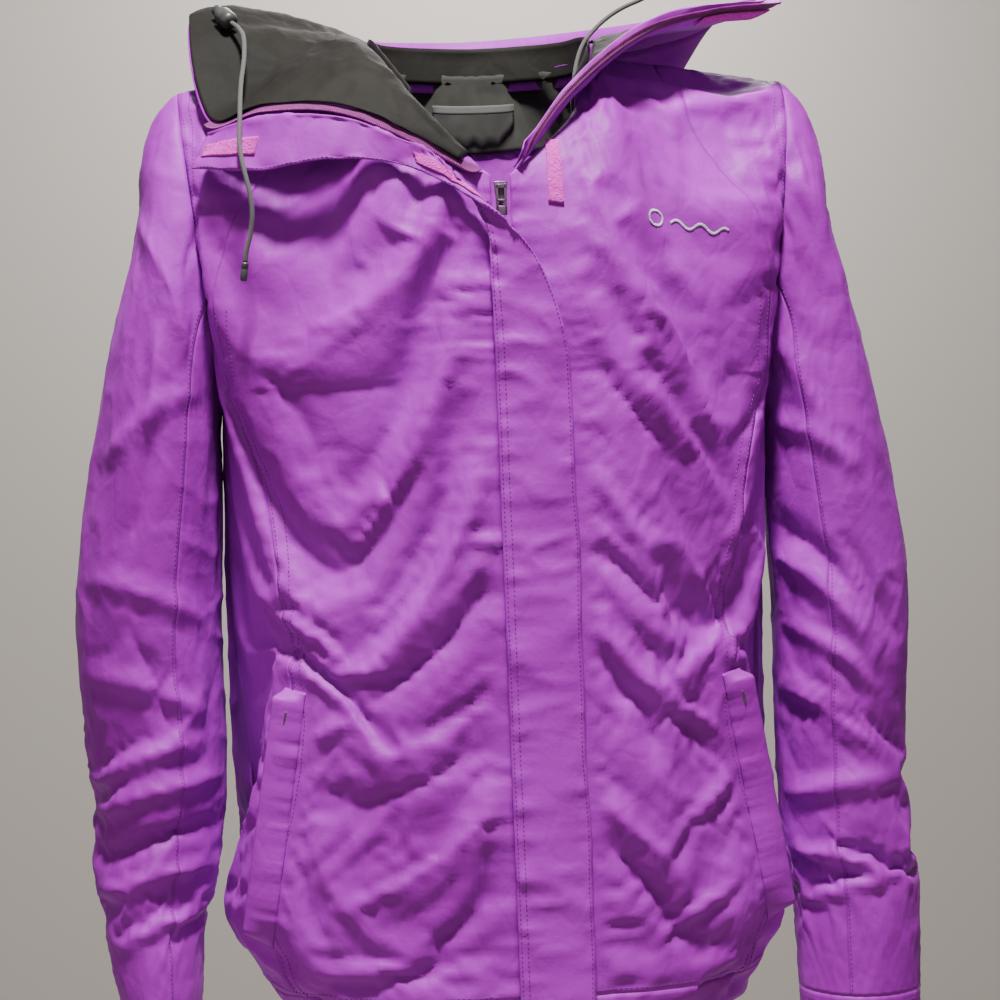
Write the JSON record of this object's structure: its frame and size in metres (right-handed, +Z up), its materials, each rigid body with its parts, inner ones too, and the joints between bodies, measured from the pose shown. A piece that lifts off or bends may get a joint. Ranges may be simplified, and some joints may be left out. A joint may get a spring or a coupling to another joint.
{
  "type": "hardshell jacket",
  "caption": "Hooded waterproof shell jacket, hood down and zip part open, with storm flap, seam pockets, drawcord hem and hook-tab cuffs.",
  "frame": {"origin": "middle of the neck, level with the points where the shoulder seams meet the neck", "axes": "+Z up, front faces -Y, +X is the wearer's left"},
  "size_m": [0.5712, 0.3281, 0.7283],
  "materials": {
    "shell_nylon": "woven nylon with a soft sheen",
    "lining": "smooth coated cloth, satin",
    "mesh_cloth": "matte knitted mesh",
    "zip_tape": "matte woven tape",
    "zip_teeth": "moulded coil",
    "zip_hardware": "moulded plastic",
    "hook_tape": "matte hook and loop tape",
    "cord": "braided cord",
    "dark_plastic": "moulded plastic",
    "pull_webbing": "woven webbing",
    "embroidery": "satin stitch"
  },
  "bodies": {
    "shell": {"front_panel_right": "shell_nylon", "side_panel_right": "shell_nylon", "front_panel_left": "shell_nylon", "side_panel_left": "shell_nylon", "back_panel": "shell_nylon", "collar_right": "shell_nylon", "collar_lining_right": "lining", "collar_left": "shell_nylon", "collar_lining_left": "lining", "neck_facing": "mesh_cloth", "hanger_loop": "cord", "zip_chain": "zip_teeth", "zip_end_box": "zip_hardware", "zip_tape_right": "zip_tape", "zip_tape_left": "zip_tape", "draft_flap": "shell_nylon", "zip_teeth_right": "zip_teeth", "zip_teeth_left": "zip_teeth", "storm_flap_top": "shell_nylon", "pocket_zip_right": "zip_tape", "pocket_welt_right": "shell_nylon", "pocket_bag_right": "mesh_cloth", "pocket_zip_left": "zip_tape", "pocket_welt_left": "shell_nylon", "pocket_bag_left": "mesh_cloth", "hem_channel_right": "shell_nylon", "hem_channel_left": "shell_nylon", "hem_cord": "cord", "hem_lock_right": "dark_plastic", "hem_lock_left": "dark_plastic", "hem_pull_left": "pull_webbing", "hood_cord_right": "cord", "cord_tip_right": "dark_plastic", "cord_lock_right": "dark_plastic", "hood_cord_left": "cord", "cord_tip_left": "dark_plastic", "cord_lock_left": "dark_plastic", "chest_mark": "embroidery"},
    "sleeve_right": {"sleeve_upper_right": "shell_nylon", "sleeve_under_right": "shell_nylon", "cuff_right": "shell_nylon"},
    "sleeve_left": {"sleeve_upper_left": "shell_nylon", "sleeve_under_left": "shell_nylon", "cuff_left": "shell_nylon"},
    "cuff_tab_right": {"cuff_tab_right": "shell_nylon"},
    "cuff_tab_left": {"cuff_tab_left": "shell_nylon"},
    "storm_flap": {"storm_flap": "shell_nylon", "flap_hook_patch": "hook_tape"},
    "zip_slider": {"zip_slider": "zip_hardware"},
    "zip_pull": {"zip_pull": "zip_hardware"},
    "pocket_slider_right": {"pocket_slider_right": "zip_hardware"},
    "pocket_slider_left": {"pocket_slider_left": "zip_hardware"},
    "hood": {"hood_centre": "shell_nylon", "hood_side_right": "shell_nylon", "hood_side_left": "shell_nylon", "hood_lining": "lining"},
    "cord_lock_button_right": {"cord_lock_button_right": "dark_plastic"},
    "cord_lock_button_left": {"cord_lock_button_left": "dark_plastic"},
    "hem_lock_button_right": {"hem_lock_button_right": "dark_plastic"},
    "hem_lock_button_left": {"hem_lock_button_left": "dark_plastic"}
  },
  "joints": [
    {"name": "sleeve_right_raise", "type": "hinge", "parent": "shell", "child": "sleeve_right", "pos_m": [-0.207, 0, -0.02], "axis": [0, 1, 0], "range_deg": [0, 75]},
    {"name": "sleeve_left_raise", "type": "hinge", "parent": "shell", "child": "sleeve_left", "pos_m": [0.207, 0, -0.02], "axis": [0, -1, 0], "range_deg": [0, 75]},
    {"name": "cuff_tab_right_open", "type": "hinge", "parent": "sleeve_right", "child": "cuff_tab_right", "pos_m": [-0.26442, 0.03338, -0.65599], "axis": [0, 0, -1], "range_deg": [0, 100]},
    {"name": "cuff_tab_left_open", "type": "hinge", "parent": "sleeve_left", "child": "cuff_tab_left", "pos_m": [0.26442, 0.03338, -0.65599], "axis": [0, 0, 1], "range_deg": [0, 100]},
    {"name": "storm_flap_open", "type": "hinge", "parent": "shell", "child": "storm_flap", "pos_m": [-0.008, -0.13098, -0.21887], "axis": [0, -0.0148, -0.9999], "range_deg": [0, 150]},
    {"name": "zip_slide", "type": "slide", "parent": "shell", "child": "zip_slider", "axis": [0, -0.0148, -0.9999], "range_m": [0, 0.49]},
    {"name": "zip_pull_swing", "type": "hinge", "parent": "zip_slider", "child": "zip_pull", "pos_m": [0, -0.12284, -0.10397], "axis": [-1, 0, 0], "range_deg": [0, 120]},
    {"name": "pocket_right_slide", "type": "slide", "parent": "shell", "child": "pocket_slider_right", "axis": [-0.1642, 0.097, -0.9816], "range_m": [0, 0.125]},
    {"name": "pocket_left_slide", "type": "slide", "parent": "shell", "child": "pocket_slider_left", "axis": [0.1642, 0.097, -0.9816], "range_m": [0, 0.125]},
    {"name": "hood_lift", "type": "hinge", "parent": "shell", "child": "hood", "pos_m": [0, 0.076, 0.016], "axis": [1, 0, 0], "range_deg": [0, 25]},
    {"name": "cord_lock_right_press", "type": "slide", "parent": "shell", "child": "cord_lock_button_right", "axis": [0.4472, -0.7155, -0.5367], "range_m": [0, 0.003], "stiffness_N_per_m": 400},
    {"name": "hem_lock_right_press", "type": "slide", "parent": "shell", "child": "hem_lock_button_right", "axis": [0, 1, 0], "range_m": [0, 0.003], "stiffness_N_per_m": 400},
    {"name": "cord_lock_left_press", "type": "slide", "parent": "shell", "child": "cord_lock_button_left", "axis": [-0.9364, -0.3405, 0.0851], "range_m": [0, 0.003], "stiffness_N_per_m": 400},
    {"name": "hem_lock_left_press", "type": "slide", "parent": "shell", "child": "hem_lock_button_left", "axis": [0, 1, 0], "range_m": [0, 0.003], "stiffness_N_per_m": 400}
  ]
}
